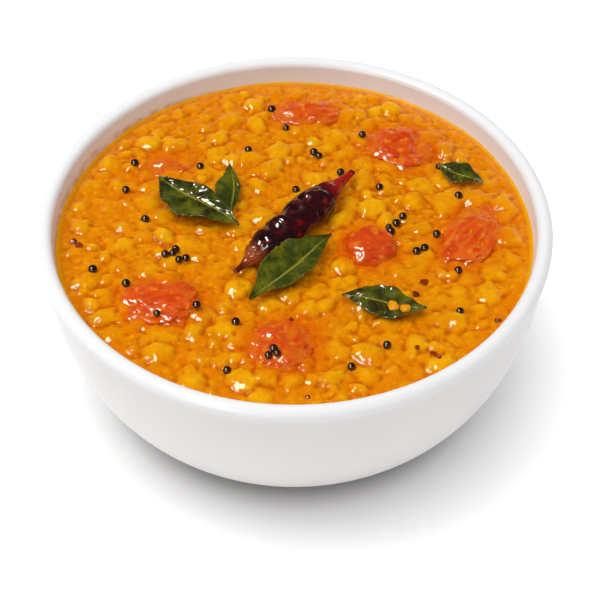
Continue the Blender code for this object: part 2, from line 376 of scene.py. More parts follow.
def makeBowlMaterial():
    look = bowlLook
    material, tree, shader = newMaterial("bowlGlaze", look["roughness"], 0.2)
    shade = useGroup(tree, tonePatches, Color=look["glaze"], Patch_Color=look["glazeShade"],
                     Freckle_Color=look["glazeSpeck"], Patch_Scale=30.0, Freckle_Scale=700.0,
                     Patches=0.5, Freckles=0.1)["Color"]
    where = addPlace(tree)
    parts = tree.nodes.new("ShaderNodeSeparateXYZ")
    tree.links.new(where, parts.inputs[0])
    # tide mark of gravy just above the dal, mostly on the left
    height = addMath(tree, "DIVIDE", parts.outputs["Z"], mm)
    wander = addNoise(tree, where, 55.0, 3.0)
    top = addMath(tree, "MULTIPLY_ADD", wander, 3.6, dalLevel - 0.9)
    leftness = addRange(tree, parts.outputs["X"], 20 * mm, -62 * mm, *look["tideRise"])
    top = addMath(tree, "ADD", top, leftness)
    below = addRange(tree, addMath(tree, "SUBTRACT", top, height), -0.6, 1.4)
    litInside = addMark(tree, "litInside")
    # painted light: the inside and the lip are lighter than the outer wall
    shade = addMix(tree, litInside, shade, look["litGlazeInside"])
    blotch = addRange(tree, addNoise(tree, where, 240.0, 2.0), 0.3, 0.7, 0.25, 1.0)
    mark = addMath(tree, "MULTIPLY", addMath(tree, "MULTIPLY", below, litInside), blotch)
    shade = addMix(tree, addMath(tree, "MULTIPLY", mark, look["tideStrength"]), shade, look["tideMark"])
    # bare clay where the foot stands
    bare = addMark(tree, "bare")
    shade = addMix(tree, bare, shade, look["bareClay"])
    plug(tree, shader.inputs["Base Color"], shade)
    cloudy = addNoise(tree, where, 45.0, 2.0)
    rough = addMath(tree, "MULTIPLY_ADD", cloudy, 0.1, look["roughness"] - 0.05)
    plug(tree, shader.inputs["Roughness"], addMath(tree, "MULTIPLY_ADD", bare, 0.5, rough))
    plug(tree, shader.inputs["Normal"], addBump(tree, addNoise(tree, where, 300.0, 2.0), 0.000008))
    return material


def makeBowl():
    look = bowlLook
    low, high = corners("bowl")
    radius = high[0]
    lip = (radius - look["lipHalfWidth"], high[2] - look["lipHalfHeight"])
    outline = [(look["middleRing"], look["footRecess"]), (look["recessRing"], look["footRecess"])]
    outline += arc((look["footInner"] - 0.6, 0.6), (0.6, 0.6), 90, 0, 4)
    outline += arc((look["footInner"] + 0.9, 0.5), (0.6, 0.5), 180, 270, 4)
    outline += arc((look["footOuter"] - 0.7, 0.6), (0.7, 0.6), 270, 360, 5)
    outline += arc((look["footOuter"] + 0.5, look["footHeight"] - 0.4), (0.5, 0.4), 180, 90, 3)
    wallRadii = (look["wallRadius"] - look["baseRadius"], look["wallTop"] - look["footHeight"])
    outline += arc((look["baseRadius"], look["wallTop"]), wallRadii, -90, 0, 40)
    outline += arc(lip, (look["lipHalfWidth"], look["lipHalfHeight"]), *look["lipArc"], 26)
    # close rings down to the dal, wider ones below it
    for height in np.concatenate((np.arange(58.2, 51.0, -0.4), np.linspace(50.5, 6.3, 16))):
        outline.append((float(innerRadius(height)), float(height)))
    outline += [(look["innerFloorRadius"], look["innerFloor"]), (look["middleRing"], look["innerFloor"])]
    around = look["segments"]
    points = []
    litInside = []
    bare = []
    lipIndex = next(i for i, (r, z) in enumerate(outline) if z > high[2] - 0.01)
    for index, (r, z) in enumerate(outline):
        for step in range(around):
            angle = math.tau * step / around
            points.append((r * math.cos(angle), r * math.sin(angle), z))
        # share of the painted lighter inside glaze, rising over the lip
        share = (index - lipIndex + look["insideFrom"]) / look["insideFade"]
        litInside += [min(max(share, 0.0), 1.0)] * around
        standing = look["footInner"] - 0.5 < r < look["footOuter"] + 0.2 and z < 0.25
        bare += [1.0 if standing else 0.0] * around
    faces = ringFaces(len(outline), around)
    under = len(points)
    points += [(0, 0, look["footRecess"]), (0, 0, look["innerFloor"])]
    litInside += [0.0, 1.0]
    bare += [0.0, 0.0]
    last = (len(outline) - 1) * around
    for step in range(around):
        beside = (step + 1) % around
        faces.append((under, beside, step))
        faces.append((under + 1, last + step, last + beside))
    marks = {"litInside": litInside, "bare": bare}
    return place(makePiece("bowlShell", points, faces, makeBowlMaterial(), marks), "bowl")


makeBowl()
print("bowl made")

# Toppings that press into the dal are laid out first: the dal is shaped round them.
leafLook = {
    "thickness": 0.35,
    "seat": 0.75,              # height of the middle above the bottom of its box
    "stations": 110,           # points along a leaf
    "halfAcross": 22,          # points from its middle to an edge
    "veins": 11,               # side veins on each side
    "veinSlant": 1.9,
    "veinDepth": 0.24,
    "ribHeight": 0.22,
    "channelDepth": 0.35,
    "crinkles": ((0.5, 4.0, 0), (0.28, 2.1, 1), (0.12, 1.2, 4)),   # height, size and seed step
    "green": colour(50, 62, 4),
    "patch": colour(106, 106, 10),
    "freckle": colour(18, 26, 0),
    "brown": colour(44, 24, 2),
    "vein": colour(96, 112, 20),
    "midrib": colour(172, 160, 46),
    "edge": colour(128, 116, 44),
}
# start and end are shares of the leaf's box, left and right are half widths
leaves = [
    {"node": "curry_leaf_1", "start": (0.0, 1.0), "end": (1.0, 0.0), "left": 4.6, "right": 8.4, "peak": 0.86,
     "leftRise": 1.2, "rightRise": 1.0, "arch": 0.5, "wave": 0.5, "seed": 3, "brown": 0.85},
    {"node": "curry_leaf_2", "start": (0.60, 1.0), "end": (0.72, 0.0), "left": 1.9, "right": 5.5, "peak": 1.2,
     "leftRise": 0.7, "rightRise": 1.3, "arch": 0.2, "wave": 0.3, "seed": 5, "brown": 0.2},
    {"node": "curry_leaf_3", "start": (0.0, 0.0), "end": (1.0, 1.0), "left": 7.4, "right": 4.8, "peak": 1.0,
     "leftRise": 2.4, "rightRise": 0.5, "arch": 0.6, "wave": 0.35, "seed": 8, "brown": 0.1},
    {"node": "curry_leaf_4", "start": (0.0, 0.72), "end": (1.0, 0.27), "left": 5.2, "right": 5.2, "peak": 1.0,
     "leftRise": 0.9, "rightRise": -0.3, "arch": 0.4, "wave": 0.4, "seed": 13, "brown": 0.75},
    {"node": "curry_leaf_5", "start": (0.0, 0.94), "end": (1.0, 0.04), "left": 4.4, "right": 3.0, "peak": 0.9,
     "leftRise": 0.5, "rightRise": -0.4, "arch": 0.5, "wave": 0.4, "seed": 21, "brown": 0.6},
]


def leafSpot(leaf, t, u):
    # place on the leaf: t from stalk to tip, u from -1 at its right edge to 1 at its left edge
    low, high = corners(leaf["node"])
    start = low[:2] + (high[:2] - low[:2]) * np.array(leaf["start"])
    end = low[:2] + (high[:2] - low[:2]) * np.array(leaf["end"])
    along = end - start
    length = float(np.hypot(*along))
    side = np.array([-along[1], along[0]]) / length
    fullness = np.sin(np.pi * np.clip(t, 0, 1) ** leaf["peak"]) ** 1.3 + 0.05
    width = np.where(u > 0, leaf["left"], leaf["right"]) * fullness
    width = width * (1 + 0.05 * np.sin(t * 21 + leaf["seed"]) * np.abs(u))
    bend = 0.6 * np.sin(math.tau * t + leaf["seed"])
    x = start[0] + along[0] * t + side[0] * (u * width + bend)
    y = start[1] + along[1] * t + side[1] * (u * width + bend)
    rise = np.where(u > 0, leaf["leftRise"], leaf["rightRise"]) * np.abs(u) ** 1.3 * fullness
    ripple = leaf["wave"] * np.sin(t * 16 + leaf["seed"] * 1.7 + 2 * u) * np.abs(u) ** 1.5 * fullness
    base = low[2] + leafLook["seat"] + leaf["arch"] * np.sin(np.pi * t)
    return x, y, base + rise + ripple


# The chilli's half width is given at shares of its length, from the pointed end to the stalk
chilliLook = {
    "widths": ((0.0, 0.75), (0.05, 0.95), (0.1, 1.7), (0.15, 2.9), (0.2, 4.6), (0.27, 5.5), (0.45, 5.9),
               (0.62, 5.8), (0.72, 5.1), (0.8, 3.7), (0.86, 2.2), (0.91, 1.5), (1.0, 1.0)),
    "endHeights": (56.3, 57.4),
    "girth": 4.8,              # with the length, only sets how wide its wrinkles are
    "length": 53,
    "flatness": 0.78,
    "sway": 0.9,
    "arch": 0.6,
    "stations": 230,
    "around": 80,
    "dents": 0.1,
    "folds": 0.07,
    "crinkles": 0.13,
    "swells": 0.75,            # height of the swellings along its top
    "swellCount": 7.1,
    "body": colour(52, 2, 7),
    "dark": colour(14, 1, 3),
    "bright": colour(160, 10, 8),
    # tone, kind of border, where along the pod it starts and is full, and how strong it gets
    "zones": (
        (colour(176, 16, 6), "ragged", 0.78, 0.92, 1.0),
        (colour(178, 82, 34), "ragged", 0.27, 0.19, 0.8),
        (colour(96, 14, 10), "ragged", 0.15, 0.1, 0.9),
        (colour(60, 34, 26), "sharp", 0.975, 0.99, 1.0),
    ),
}


def chilliSpine(t):
    low, high = corners("chilli")
    start = np.array([low[0], low[1], chilliLook["endHeights"][0]])
    end = np.array([high[0], high[1], chilliLook["endHeights"][1]])
    along = (end - start) / np.linalg.norm(end - start)
    across = np.cross(along, (0, 0, 1))
    across = across / np.linalg.norm(across)
    upward = np.cross(across, along)
    bend = np.sin(np.pi * t)[..., None]
    spine = start + (end - start) * np.asarray(t)[..., None]
    return spine + bend * (across * chilliLook["sway"] + upward * chilliLook["arch"]), across, upward


def chilliHalfWidth(t):
    shares, widths = zip(*chilliLook["widths"])
    spread = [np.interp(t + shift, shares, widths) for shift in np.linspace(-0.025, 0.025, 7)]
    return np.mean(spread, axis=0)


tomatoLook = {
    "corners": 2.4,            # 2 is an ellipse, more is squarer
    "bulge": 0.85,
    "swell": 0.12,
    "ridge": 0.05,
    "lump": 0.10,
    "pimple": 0.04,
    "sinking": 1.3,
    "waves": 0.9,
    "flesh": colour(228, 80, 4),
    "patch": colour(208, 54, 0),
    "seedy": colour(240, 150, 20),
    "ridgeTone": colour(240, 128, 24),
    "gravyFilm": colour(228, 114, 4),
}
# half sizes along, across and up, turn in degrees, and how far each is sunk
tomatoes = [
    {"node": "tomato_1", "pleats": 0.3, "lumps": 1.0,
     "half": (10.2, 6.0, 3.0), "turn": 0, "seed": 1, "sunk": 0.8, "red": 0.55},
    {"node": "tomato_2", "pleats": 0.3, "lumps": 0.9,
     "half": (10.4, 9.0, 3.4), "turn": -12, "seed": 2, "sunk": 0.7, "red": 0.7},
    {"node": "tomato_3", "pleats": 0.3, "lumps": 1.0,
     "half": (9.2, 6.4, 2.8), "turn": 20, "seed": 3, "sunk": 0.95, "red": 0.45},
    {"node": "tomato_4", "pleats": 0.5, "lumps": 1.0,
     "half": (10.8, 7.8, 3.6), "turn": -8, "seed": 4, "sunk": 0.35, "red": 0.8},
    {"node": "tomato_5", "pleats": 0.4, "lumps": 0.9,
     "half": (9.4, 9.0, 3.4), "turn": 24, "seed": 5, "sunk": 0.7, "red": 0.9},
    {"node": "tomato_6", "pleats": 0.1, "lumps": 0.25,
     "half": (7.4, 7.2, 4.1), "turn": 18, "seed": 6, "sunk": 0.0, "red": 1.0},
    {"node": "tomato_7", "pleats": 0.9, "lumps": 0.6,
     "half": (12.6, 8.6, 3.5), "turn": 62, "seed": 7, "sunk": 0.75, "red": 0.7},
]


def tomatoReach(piece, x, y):
    # 0 at the piece's middle, 1 on its outline
    low, high = corners(piece["node"])
    middle = (low + high) / 2
    turn = math.radians(piece["turn"])
    along = ((x - middle[0]) * math.cos(turn) + (y - middle[1]) * math.sin(turn)) / piece["half"][0]
    across = ((y - middle[1]) * math.cos(turn) - (x - middle[0]) * math.sin(turn)) / piece["half"][1]
    power = tomatoLook["corners"]
    return (np.abs(along) ** power + np.abs(across) ** power) ** (1 / power)


# Dal: small lentils in soft clumps under gravy, worked out as a map of heights
dalLook = {
    "seed": 11,
    "reach": 72.0,
    "cell": 0.25,
    "squares": 296,            # squares across the surface
    "gravyLevel": 53.55,
    "leafGap": 0.45,           # room under a leaf's middle plane
    "leafSlope": 0.28,         # how fast the dal rises beside it, for each cell
    "tomatoBed": 2.6,          # how far the dal is pushed down from a piece's top
    "grainReach": 68.5,        # how far from the middle grains lie
    "tries": 60000,            # how hard the surface is searched for room for grains
    "depthUnder": (50.0, 40.0, 28.0, 16.0, 8.0, 6.6),   # heights of the rings under the surface
    "clumps": {"spacing": 6.6, "half": (3.8, 5.4), "depth": (2.4, 3.3), "rise": (0.4, 2.0), "blend": 0.8},
    "bits": {"spacing": 4.2, "half": (2.0, 3.3), "depth": (1.4, 2.2), "rise": (0.2, 1.3), "blend": 0.7},
    "lentils": {"spacing": 2.4, "half": (1.1, 1.9), "depth": (0.5, 0.9), "rise": (-0.15, 0.22), "blend": 0.3},
    # layers of hills: height, size and seed
    "pushX": ((0.7, 6.0, 1), (0.12, 2.2, 2)),
    "pushY": ((0.7, 6.0, 3), (0.12, 2.2, 4)),
    "gravyWaves": ((0.3, 15.0, 5), (0.12, 5.0, 6)),
    "dimples": ((0.18, 3.1, 17), (0.24, 2.0, 18)),
    "lentil": colour(238, 158, 4),
    "paleLentil": colour(250, 186, 10),
    "gravy": colour(226, 126, 0),
    "creviceShadeTone": colour(190, 80, 0),
    # painted shade for the hollows between lumps
    "tomatoStain": colour(220, 76, 0),
    # a pale line along the wall, partly oil and partly painted sheen on the meniscus
    "oilAndSheenTone": colour(250, 186, 10),
}


def scatterGrains(kind, picker):
    grains = []
    spots = np.empty((0, 2))
    for attempt in range(int(dalLook["tries"] / kind["spacing"] ** 2)):
        radius = dalLook["grainReach"] * math.sqrt(picker.random())
        angle = math.tau * picker.random()
        spot = np.array([radius * math.cos(angle), radius * math.sin(angle)])
        spacing = kind["spacing"] * picker.uniform(0.8, 1.25)
        if len(spots) and np.min(np.hypot(*(spots - spot).T)) < spacing:
            continue
        spots = np.vstack((spots, spot))
        long = picker.uniform(*kind["half"])
        grains.append({
            "spot": spot,
            "half": (long, long * picker.uniform(0.72, 1.0)),
            "turn": picker.uniform(0, math.pi),
            "depth": picker.uniform(*kind["depth"]),
            "rise": picker.uniform(*kind["rise"]),
            "tint": picker.uniform(0, 1),
        })
    return grains


def layGrains(height, ground, warp, kind, picker, tint):
    # every grain is a dome set into the ground below it and joined softly to its neighbours
    look = dalLook
    window = int(kind["half"][1] * 1.5 / look["cell"]) + 2
    for grain in scatterGrains(kind, picker):
        row, column = ((grain["spot"] + look["reach"]) / look["cell"]).astype(int)
        area = (slice(max(row - window, 0), row + window), slice(max(column - window, 0), column + window))
        dx = warp[0][area] - grain["spot"][0]
        dy = warp[1][area] - grain["spot"][1]
        cos, sin = math.cos(grain["turn"]), math.sin(grain["turn"])
        along = (dx * cos + dy * sin) / grain["half"][0]
        across = (dy * cos - dx * sin) / grain["half"][1]
        fall = 1 - (along ** 2 + across ** 2)
        dome = np.where(fall > 0, np.sqrt(np.clip(fall, 0, 1)), fall) * grain["depth"]
        top = ground[row, column] + grain["rise"] - grain["depth"] + dome
        before = height[area]
        share = smoothStep(-0.2, 0.3, top - before)
        tint[area] = tint[area] * (1 - share) + grain["tint"] * share
        height[area] = softMax(before, top, kind["blend"])
    return height


def shapeDal():
    look = dalLook
    picker = np.random.default_rng(look["seed"])
    axis = np.arange(-look["reach"], look["reach"] + look["cell"], look["cell"])
    x, y = np.meshgrid(axis, axis, indexing="ij")
    distance = np.hypot(x, y)
    shoreline = innerRadius(dalLevel)
    warp = (x + layered(x, y, look["pushX"]), y + layered(x, y, look["pushY"]))
    gravy = look["gravyLevel"] + layered(x, y, look["gravyWaves"])
    tint = np.full_like(x, 0.4)
    shore = smoothStep(0.5, 6.5, shoreline - distance + 1.6 * hills(x, y, 9.0, 13))
    ground = gravy + 0.35 * hills(x, y, 19.0, 7) - 1.1 * (1 - shore)
    height = layGrains(gravy.copy(), ground, warp, look["clumps"], picker, tint)
    height = layGrains(height, ground, warp, look["bits"], picker, tint)
    clumps = height.copy()
    height = layGrains(height, clumps - 0.35 * (1 - shore), warp, look["lentils"], picker, tint)
    # a skin of mashed lentil and gravy over the lentils
    smear = 0.7 * smoothStep(-0.1, 0.5, hills(x, y, 8.0, 16))
    height = height * (1 - smear) + (clumps + 0.1) * smear
    shred = np.abs(hills(*warp, 1.7, 8))
    patch = smoothStep(-0.2, 0.4, hills(x, y, 6.0, 9))
    height += 0.2 * patch * smoothStep(0.3, 0.0, shred)
    height += layered(*warp, look["dimples"])
    height += (0.08 + 0.1 * smoothStep(0.2, 1.4, height - gravy)) * hills(*warp, 1.3, 10)
    # smooth gravy along the wall, drawn up a little where it meets it
    calm = smoothStep(0.2, 3.5, shoreline - distance)
    height = gravy * (1 - calm) + height * calm
    height += 0.35 * np.exp(-np.clip(shoreline - distance, 0, None) / 0.7)
    # tomato juice, and room for the pieces
    red = np.zeros_like(x)
    for piece in tomatoes:
        reach = tomatoReach(piece, x, y) + 0.16 * hills(x, y, 4.0, 14)
        red = np.maximum(red, piece["red"] * smoothStep(1.7, 0.85, reach))
        bed = corners(piece["node"])[1][2] - look["tomatoBed"] + piece["sunk"] * 1.2
        pressed = smoothStep(1.12, 0.8, reach) * (1 - piece["sunk"])
        height = height * (1 - pressed) + np.minimum(height, bed) * pressed
    red = np.maximum(red, 0.35 * smoothStep(0.42, 0.8, hills(x, y, 11.0, 15)))
    along, across = np.meshgrid(np.linspace(0, 1, 260), np.linspace(-1, 1, 120))
    for leaf in leaves:
        height = pressUnder(height, *leafSpot(leaf, along, across))
    blurred = height.copy()
    for reach in (1, 2, 3, 4):
        blurred = (blurred + np.roll(blurred, reach, 0) + np.roll(blurred, -reach, 0)
                   + np.roll(blurred, reach, 1) + np.roll(blurred, -reach, 1)) / 5
    # painted shade: darker where the surface lies below its blurred self, between lumps
    creviceShade = smoothStep(0.04, 0.32, blurred - height)
    lump = smoothStep(-0.2, 1.7, height - gravy)
    # pale line along the wall: partly oil, partly painted sheen where the meniscus meets the wall
    oilAndSheen = smoothStep(1.5, 0.2, shoreline - distance)
    return {"height": height, "lump": lump, "tint": tint, "red": red, "creviceShade": creviceShade, "oilAndSheen": oilAndSheen}


def pressUnder(height, x, y, z):
    # pushes the dal down below a thin thing that lies on it, with sloping sides
    look = dalLook
    ceiling = np.full_like(height, np.inf)
    rows = np.round((x.ravel() + look["reach"]) / look["cell"]).astype(int)
    columns = np.round((y.ravel() + look["reach"]) / look["cell"]).astype(int)
    np.minimum.at(ceiling, (rows, columns), z.ravel() - look["leafGap"])
    for step in range(5):
        for shift in (1, -1):
            for direction in (0, 1):
                ceiling = np.minimum(ceiling, np.roll(ceiling, shift, direction) + look["leafSlope"])
    return np.minimum(height, ceiling)


dalMap = shapeDal()


def readMap(name, x, y):
    values = dalMap[name]
    u = (np.asarray(x) + dalLook["reach"]) / dalLook["cell"]
    v = (np.asarray(y) + dalLook["reach"]) / dalLook["cell"]
    i = np.clip(np.floor(u).astype(int), 0, values.shape[0] - 2)
    j = np.clip(np.floor(v).astype(int), 0, values.shape[1] - 2)
    du = u - i
    dv = v - j
    near = values[i, j] * (1 - du) + values[i + 1, j] * du
    far = values[i, j + 1] * (1 - du) + values[i + 1, j + 1] * du
    return near * (1 - dv) + far * dv


def makeDalMaterial():
    look = dalLook
    material, tree, shader = newMaterial("dalSurface", 0.35, 0.0, 1.0, 0.025)
    lump = addMark(tree, "lump")
    shade = addMix(tree, lump, look["gravy"], look["lentil"])
    pale = addMath(tree, "MULTIPLY", addMark(tree, "tint"), addMath(tree, "MULTIPLY", lump, 0.8))
    shade = addMix(tree, pale, shade, look["paleLentil"])
    shade = useGroup(tree, tonePatches, Color=shade, Patch_Color=look["gravy"],
                     Freckle_Color=look["paleLentil"], Patch_Scale=150.0, Freckle_Scale=700.0,
                     Patches=0.5, Freckles=0.5)["Color"]
    # painted shade in the hollows between lumps
    shade = tintWhere(tree, shade, "creviceShade", 0.75, look["creviceShadeTone"])
    shade = tintWhere(tree, shade, "red", 0.75, look["tomatoStain"])
    # partly oil, partly painted sheen along the wall
    shade = tintWhere(tree, shade, "oilAndSheen", 0.7, look["oilAndSheenTone"])
    plug(tree, shader.inputs["Base Color"], shade)
    shader.inputs["Coat IOR"].default_value = 1.36
    addFilm(tree, shader, 0.0001, Scale=250.0, Wet_Roughness=0.2, Dry_Roughness=0.45,
            Ripples=1.2, Pimples=0.25)
    addFlesh(shader, 0.12, (1.0, 0.4, 0.08), 0.0015)
    return material


dalMaterial = makeDalMaterial()


def makeDal():
    count = dalLook["squares"]
    radius = float(innerRadius(dalLevel)) + 0.15
    u, v = np.meshgrid(np.linspace(-1, 1, count + 1), np.linspace(-1, 1, count + 1), indexing="ij")
    # the squares of a grid pushed out into a disc
    wide = np.abs(u) > np.abs(v)
    safeU = np.where(u == 0, 1, u)
    safeV = np.where(v == 0, 1, v)
    reach = np.where(wide, u, v)
    angle = np.where(wide, math.pi / 4 * v / safeU, math.pi / 2 - math.pi / 4 * u / safeV)
    x = (radius * reach * np.cos(angle)).ravel()
    y = (radius * reach * np.sin(angle)).ravel()
    points = np.column_stack((x, y, readMap("height", x, y)))
    index = np.arange((count + 1) ** 2).reshape(count + 1, count + 1)
    quads = np.stack((index[:-1, :-1], index[1:, :-1], index[1:, 1:], index[:-1, 1:]), axis=-1)
    faces = quads.reshape(-1, 4).tolist()
    shore = np.concatenate((index[:-1, 0], index[-1, :-1], index[:0:-1, -1], index[0, :0:-1]))
    angles = np.arctan2(y[shore], x[shore])
    above = shore.tolist()
    for height in dalLook["depthUnder"]:
        edge = float(innerRadius(height)) + 0.1
        first = len(points)
        ring = np.column_stack((edge * np.cos(angles), edge * np.sin(angles), np.full(len(angles), height)))
        points = np.vstack((points, ring))
        below = list(range(first, first + len(angles)))
        for step in range(len(angles)):
            beside = (step + 1) % len(angles)
            faces.append((above[beside], above[step], below[step], below[beside]))
        above = below
    points = np.vstack((points, (0, 0, dalLook["depthUnder"][-1])))
    centre = len(points) - 1
    faces += [(above[(step + 1) % len(above)], above[step], centre) for step in range(len(above))]
    marks = {}
    for name in ("lump", "tint", "red", "creviceShade", "oilAndSheen"):
        values = np.zeros(len(points))
        values[:len(x)] = readMap(name, x, y)
        marks[name] = values
    return place(makePiece("dalSurface", points, faces, dalMaterial, marks), "dal")


dal = makeDal()
grounds.append(BVHTree.FromObject(dal, bpy.context.evaluated_depsgraph_get()))
print("dal made")


# Curry leaves
def makeLeafMaterial(leaf):
    look = leafLook
    material, tree, shader = newMaterial("leaf" + leaf["node"][-1], 0.4, 0.15, 1.0, 0.06)
    shade = useGroup(tree, tonePatches, Color=look["green"], Patch_Color=look["patch"],
                     Freckle_Color=look["freckle"], Patch_Scale=150.0, Freckle_Scale=900.0,
                     Patches=0.9, Freckles=0.6)["Color"]
    brown = addRange(tree, addNoise(tree, addPlace(tree), 190.0, 3.0, 0.8), 0.47, 0.6)
    shade = addMix(tree, addMath(tree, "MULTIPLY", brown, leaf["brown"]), shade, look["brown"])
    for name, share in (("vein", 0.3), ("midrib", 0.9), ("edge", 0.5)):
        shade = tintWhere(tree, shade, name, share, look[name])
    plug(tree, shader.inputs["Base Color"], shade)
    addFilm(tree, shader, 0.00006, Scale=260.0, Wet_Roughness=0.14, Dry_Roughness=0.4,
            Ripples=0.7, Pimples=0.25)
    return material


def makeLeaf(leaf):
    look = leafLook
    stations = look["stations"]
    half = look["halfAcross"]
    ts = np.linspace(0.004, 0.996, stations)
    us = np.linspace(-1, 1, 2 * half + 1)
    t, u = np.meshgrid(ts, us, indexing="ij")
    x, y, z = leafSpot(leaf, t, u)
    rib = np.exp(-(u / 0.04) ** 2)
    channel = np.exp(-(u / 0.16) ** 2)
    slant = t * look["veins"] - np.abs(u) * look["veinSlant"] + 0.25 * hills(x, y, 5.0, leaf["seed"] + 2)
    vein = np.clip(np.cos(math.tau * slant), 0, 1) ** 10 * (1 - np.abs(u)) ** 0.5
    edge = smoothStep(0.93, 0.99, np.abs(u))
    crinkle = layered(x, y, [(height, size, leaf["seed"] + step) for height, size, step in look["crinkles"]])
    z = z - look["channelDepth"] * channel + look["ribHeight"] * rib - look["veinDepth"] * vein
    z = z + crinkle * (0.3 + 0.7 * np.abs(u))
    thin = look["thickness"] * np.sqrt(np.clip(1 - np.abs(u) ** 6, 0.02, 1))
    points = []
    marks = {"midrib": [], "vein": [], "edge": []}
    for station in range(stations):
        upper = list(range(2 * half, -1, -1))
        lower = list(range(1, 2 * half))
        for i in upper:
            points.append((x[station, i], y[station, i], z[station, i] + thin[station, i] / 2))
        for i in lower:
            points.append((x[station, i], y[station, i], z[station, i] - thin[station, i] / 2))
        for i in upper + lower:
            marks["midrib"].append(rib[station, i])
            marks["vein"].append(vein[station, i])
            marks["edge"].append(edge[station, i])
    around = 4 * half
    faces = ringFaces(stations, around)
    faces.append(tuple(range(around - 1, -1, -1)))
    last = (stations - 1) * around
    faces.append(tuple(range(last, last + around)))
    name = "leaf" + leaf["node"][-1]
    grounds.append(BVHTree.FromPolygons((np.array(points) * mm).tolist(), faces))
    return place(makePiece(name, points, faces, makeLeafMaterial(leaf), marks), leaf["node"])


for leaf in leaves:
    makeLeaf(leaf)
print("leaves made")


# Dried chilli
def makeChilliMaterial():
    look = chilliLook
    material, tree, shader = newMaterial("chilliSkin", 0.3, 0.15, 1.0, 0.05)
    along = addMark(tree, "along")
    shade = useGroup(tree, tonePatches, Color=look["body"], Patch_Color=look["dark"],
                     Freckle_Color=look["bright"], Patch_Scale=160.0, Freckle_Scale=420.0,
                     Patches=0.8, Freckles=0.5)["Color"]
    wander = addMath(tree, "MULTIPLY_ADD", addNoise(tree, addPlace(tree), 120.0, 2.0), 0.1, along)
    for tone, border, start, full, share in look["zones"]:
        spot = along if border == "sharp" else wander
        shade = addMix(tree, addRange(tree, spot, start, full, 0.0, share), shade, tone)
    # painted shade: the creases are darker
    shade = tintWhere(tree, shade, "creaseAndShade", 0.7, look["dark"])
    plug(tree, shader.inputs["Base Color"], shade)
    addFilm(tree, shader, 0.00006, Scale=220.0, Wet_Roughness=0.12, Dry_Roughness=0.34,
            Ripples=0.8, Pimples=0.1)
    return material


def makeChilli():
    look = chilliLook
    t = np.linspace(0.0, 1.0, look["stations"])
    spine, across, upward = chilliSpine(t)
    half = chilliHalfWidth(t)
    angles = np.linspace(0, math.tau, look["around"], endpoint=False)
    s, a = np.meshgrid(t, angles, indexing="ij")
    # dents all over, folds that run lengthwise, and tight crinkles at the pointed end
    girth = look["girth"]
    skin = np.stack((np.cos(a) * girth, np.sin(a) * girth, s * look["length"]), axis=-1).reshape(-1, 3)
    dent = roughen(skin / 4.4, 31).reshape(s.shape)
    fold = np.abs(roughen(skin / (2.6, 2.6, 12.0), 47)).reshape(s.shape)
    # the creases sink the skin and are also darkened as painted shade
    creaseAndShade = smoothStep(0.14, 0.0, fold)
    crinkle = roughen(skin / 1.3, 59).reshape(s.shape) * smoothStep(0.26, 0.14, s)
    radius = half[:, None] * (1 + look["dents"] * dent + look["crinkles"] * crinkle - look["folds"] * creaseAndShade)
    swell = np.cos(math.tau * look["swellCount"] * (s - 0.4 + 0.02 * dent)) * np.clip(np.sin(a), 0, 1) ** 2
    radius = radius + look["swells"] * swell * smoothStep(0.13, 0.22, s) * smoothStep(0.82, 0.7, s)
    points = (spine[:, None, :] + across * (np.cos(a) * radius)[..., None]
              + upward * (np.sin(a) * radius * look["flatness"])[..., None])
    points = points.reshape(-1, 3)
    marks = {"along": s.ravel(), "creaseAndShade": creaseAndShade.ravel()}
    around = look["around"]
    faces = [tuple(reversed(face)) for face in ringFaces(look["stations"], around)]
    faces.append(tuple(range(around)))
    last = (look["stations"] - 1) * around
    faces.append(tuple(range(last + around - 1, last - 1, -1)))
    return place(makePiece("chilliPod", points, faces, makeChilliMaterial(), marks), "chilli")


makeChilli()
print("chilli made")


# Tomato
def makeTomatoMaterial(piece):
    look = tomatoLook
    material, tree, shader = newMaterial("tomato" + piece["node"][-1], 0.3, 0.15, 1.0, 0.04)
    shade = useGroup(tree, tonePatches, Color=look["flesh"], Patch_Color=look["patch"],
                     Freckle_Color=look["seedy"], Patch_Scale=210.0, Freckle_Scale=480.0,
                     Patches=0.8, Freckles=0.7)["Color"]
    shade = tintWhere(tree, shade, "ridge", 0.5, look["ridgeTone"])
    shade = tintWhere(tree, shade, "filmed", 0.8, look["gravyFilm"])
    plug(tree, shader.inputs["Base Color"], shade)
    addFilm(tree, shader, 0.00008, Scale=300.0, Wet_Roughness=0.12, Dry_Roughness=0.35,
            Ripples=0.9, Pimples=0.1)
    addFlesh(shader, 0.15, (1.0, 0.25, 0.08), 0.002)
    return material


